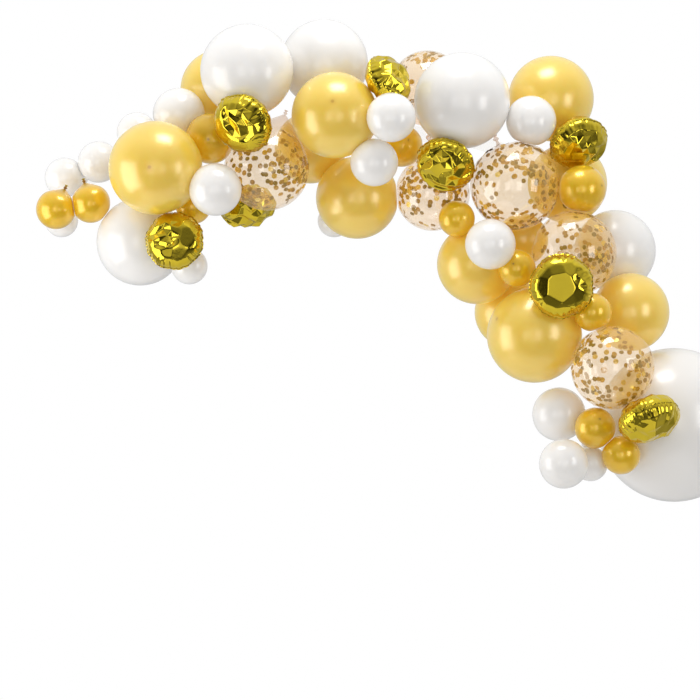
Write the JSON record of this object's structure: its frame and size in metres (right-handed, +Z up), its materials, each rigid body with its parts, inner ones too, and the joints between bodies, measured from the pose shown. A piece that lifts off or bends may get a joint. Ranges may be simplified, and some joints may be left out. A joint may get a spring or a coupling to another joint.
{
  "type": "balloon garland arch",
  "caption": "Half arch of round latex and foil balloons gathered along a hidden punched strip, thin at the left tip and ending at the foot of the right leg in one giant balloon.",
  "frame": {"origin": "on the back face of the strip at the crown, midway between two neck holes, where a wall hook or adhesive dot holds it", "axes": "+X to the right along the arch's span as seen from the front, +Y back into the wall that it hangs on, +Z up"},
  "size_m": [1.7956, 0.513, 1.2139],
  "materials": {
    "white_latex": "pearly white latex, soft gloss",
    "pearl_gold_latex": "pearl gold latex, soft gloss",
    "deep_gold_latex": "deep gold chrome-like latex of the small balloons",
    "clear_latex": "clear latex with gold confetti inside",
    "gold_foil": "mirror gold foil with crinkles and a crimped rim",
    "strip_plastic": "thin clear plastic strip"
  },
  "bodies": {
    "root": {"gold_back_left": "pearl_gold_latex", "white_top_middle": "white_latex", "gold_back_middle": "pearl_gold_latex", "clear_back_top": "clear_latex", "gold_shoulder": "pearl_gold_latex", "gold_back_shoulder": "pearl_gold_latex", "gold_back_core": "pearl_gold_latex", "white_right": "white_latex", "gold_back_leg": "pearl_gold_latex", "white_giant": "white_latex", "white_low_left": "white_latex", "mini_white_tip": "white_latex", "mini_white_tip_low": "white_latex", "mini_white_left_a": "white_latex", "mini_white_left_b": "white_latex", "mini_white_left_c": "white_latex", "mini_white_low_left": "white_latex", "mini_gold_low_left": "deep_gold_latex", "foil_low_middle": "gold_foil", "mini_white_low_middle": "white_latex", "mini_white_foot_back": "white_latex", "mini_white_foot": "white_latex", "mini_gold_left": "deep_gold_latex", "white_top_left": "white_latex", "clear_left": "clear_latex", "gold_low_middle": "pearl_gold_latex", "gold_top_middle": "pearl_gold_latex", "mini_gold_middle": "deep_gold_latex", "clear_back_middle": "clear_latex", "white_top_right": "white_latex", "gold_inner": "pearl_gold_latex", "clear_right": "clear_latex", "gold_right": "pearl_gold_latex", "gold_leg": "pearl_gold_latex", "mini_white_foot_low": "white_latex", "mini_gold_tip_outer": "deep_gold_latex", "mini_gold_tip_inner": "deep_gold_latex", "clear_leg": "clear_latex", "gold_left": "pearl_gold_latex", "foil_top_left": "gold_foil", "clear_middle": "clear_latex", "foil_top_middle": "gold_foil", "foil_middle": "gold_foil", "mini_white_middle": "white_latex", "foil_shoulder": "gold_foil", "mini_gold_shoulder": "deep_gold_latex", "mini_white_shoulder": "white_latex", "mini_gold_inner": "deep_gold_latex", "mini_gold_core": "deep_gold_latex", "mini_white_inner": "white_latex", "mini_gold_leg": "deep_gold_latex", "mini_gold_foot_low": "deep_gold_latex", "mini_gold_foot": "deep_gold_latex", "foil_low_left": "gold_foil", "mini_white_left_front": "white_latex", "mini_white_crown": "white_latex", "foil_leg": "gold_foil", "foil_foot": "gold_foil", "strip": "strip_plastic"}
  },
  "joints": []
}
